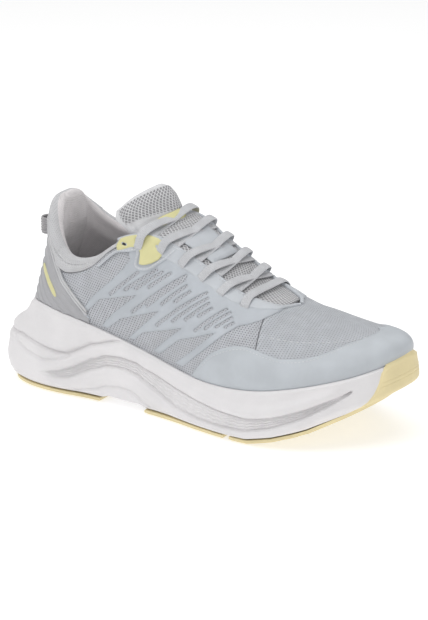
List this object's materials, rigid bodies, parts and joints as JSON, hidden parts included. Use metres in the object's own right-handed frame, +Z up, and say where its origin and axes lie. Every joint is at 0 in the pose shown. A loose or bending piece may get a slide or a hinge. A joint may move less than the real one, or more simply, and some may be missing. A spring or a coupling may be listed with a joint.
{
  "type": "running shoe",
  "caption": "Right cushioned running shoe with a sculpted rocker midsole, mesh upper, welded overlays, padded collar, laces and heel pull loop.",
  "frame": {"origin": "on the ground under the middle of the shoe's outline", "axes": "+X towards the toe, +Y towards the medial side (a right shoe), +Z up"},
  "size_m": [0.3025, 0.1173, 0.147],
  "materials": {
    "midsole_foam": "matte moulded foam",
    "outsole_rubber": "matte",
    "strobel": "matte",
    "sockliner": "knit topped foam",
    "mesh": "engineered mesh",
    "overlay_film": "welded film",
    "accent_film": "welded film",
    "heel_film": "ribbed film",
    "piping": "matte",
    "counter_board": "matte",
    "pad_foam": "open cell foam",
    "lining": "smooth knit",
    "tongue_mesh": "spacer mesh",
    "webbing": "ribbed webbing",
    "lace": "flat braid",
    "aglet": "gloss"
  },
  "bodies": {
    "shoe_body": {"midsole": "midsole_foam", "heel_outsole": "outsole_rubber", "lateral_midfoot_pod": "outsole_rubber", "medial_midfoot_pod": "outsole_rubber", "forefoot_outsole": "outsole_rubber", "toe_bumper": "outsole_rubber", "strobel_board": "strobel", "vamp_mesh": "mesh", "lateral_quarter": "mesh", "medial_quarter": "mesh", "toe_guard": "overlay_film", "lateral_overlay": "overlay_film", "medial_overlay": "overlay_film", "lateral_eyelet_patch": "accent_film", "medial_eyelet_patch": "accent_film", "heel_panel": "heel_film", "heel_piping": "piping", "heel_accent": "accent_film", "heel_counter": "counter_board", "collar_foam": "pad_foam", "collar_lining": "lining", "tongue_cover": "tongue_mesh", "tongue_foam": "pad_foam", "tongue_lining": "lining", "lace_keeper": "piping", "shoelace": "lace", "aglets": "aglet"},
    "tongue_flap": {"tongue_top_cover": "tongue_mesh", "tongue_top_foam": "pad_foam", "tongue_top_lining": "lining", "tongue_label": "accent_film"},
    "insole": {"sockliner": "sockliner"},
    "heel_loop": {"pull_loop": "webbing"}
  },
  "joints": [
    {"name": "tongue_flap_bend", "type": "hinge", "parent": "shoe_body", "child": "tongue_flap", "pos_m": [-0.031, 0.0035, 0.1205], "axis": [0, 1, 0], "range_deg": [-15, 1], "stiffness_Nm_per_rad": 0.05},
    {"name": "insole_lift", "type": "hinge", "parent": "shoe_body", "child": "insole", "pos_m": [0.137, 0.0105, 0.0465], "axis": [0, 1, 0], "range_deg": [0, 1.8]},
    {"name": "pull_loop_swing", "type": "hinge", "parent": "shoe_body", "child": "heel_loop", "pos_m": [-0.1175, 0.0015, 0.107], "axis": [0, 0, 1], "range_deg": [-6, 6], "stiffness_Nm_per_rad": 0.01}
  ]
}
